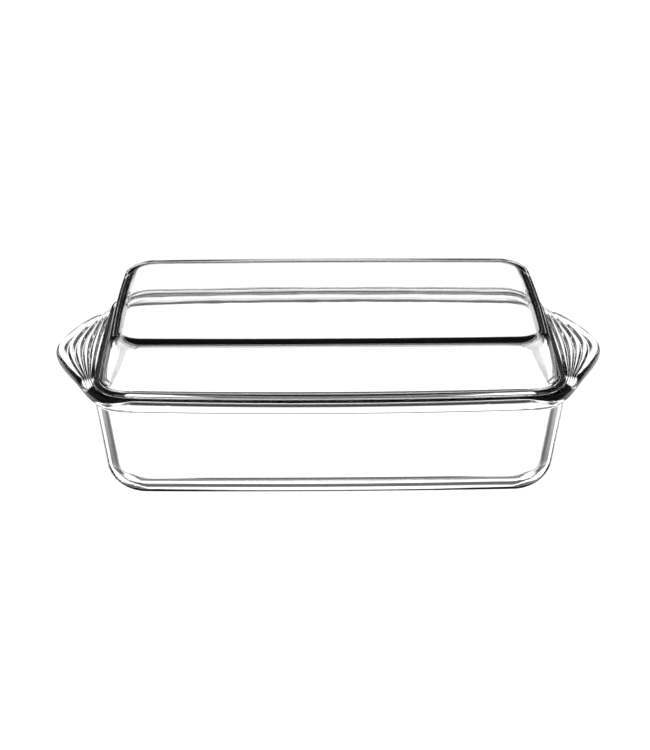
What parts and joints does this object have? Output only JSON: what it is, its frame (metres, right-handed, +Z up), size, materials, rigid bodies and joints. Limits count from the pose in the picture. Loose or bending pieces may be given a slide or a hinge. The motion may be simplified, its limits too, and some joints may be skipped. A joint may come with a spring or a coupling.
{
  "type": "covered glass loaf pan",
  "caption": "Rectangular clear glass loaf pan with ribbed grip handles at its ends and a flat-topped glass lid that lifts off.",
  "frame": {"origin": "middle of the pan's foot, on the surface it stands on", "axes": "+Z up, +X along the length from handle to handle, +Y across the width"},
  "size_m": [0.31, 0.16, 0.0935],
  "materials": {
    "pan_glass": "clear pressed glass, fire polished",
    "lid_glass": "clear pressed glass, fire polished"
  },
  "bodies": {
    "pan": {"pan": "pan_glass"},
    "lid": {"lid": "lid_glass"}
  },
  "joints": [
    {"name": "lid_lift", "type": "slide", "parent": "pan", "child": "lid", "axis": [0, 0, 1], "range_m": [0, 0.15]}
  ]
}
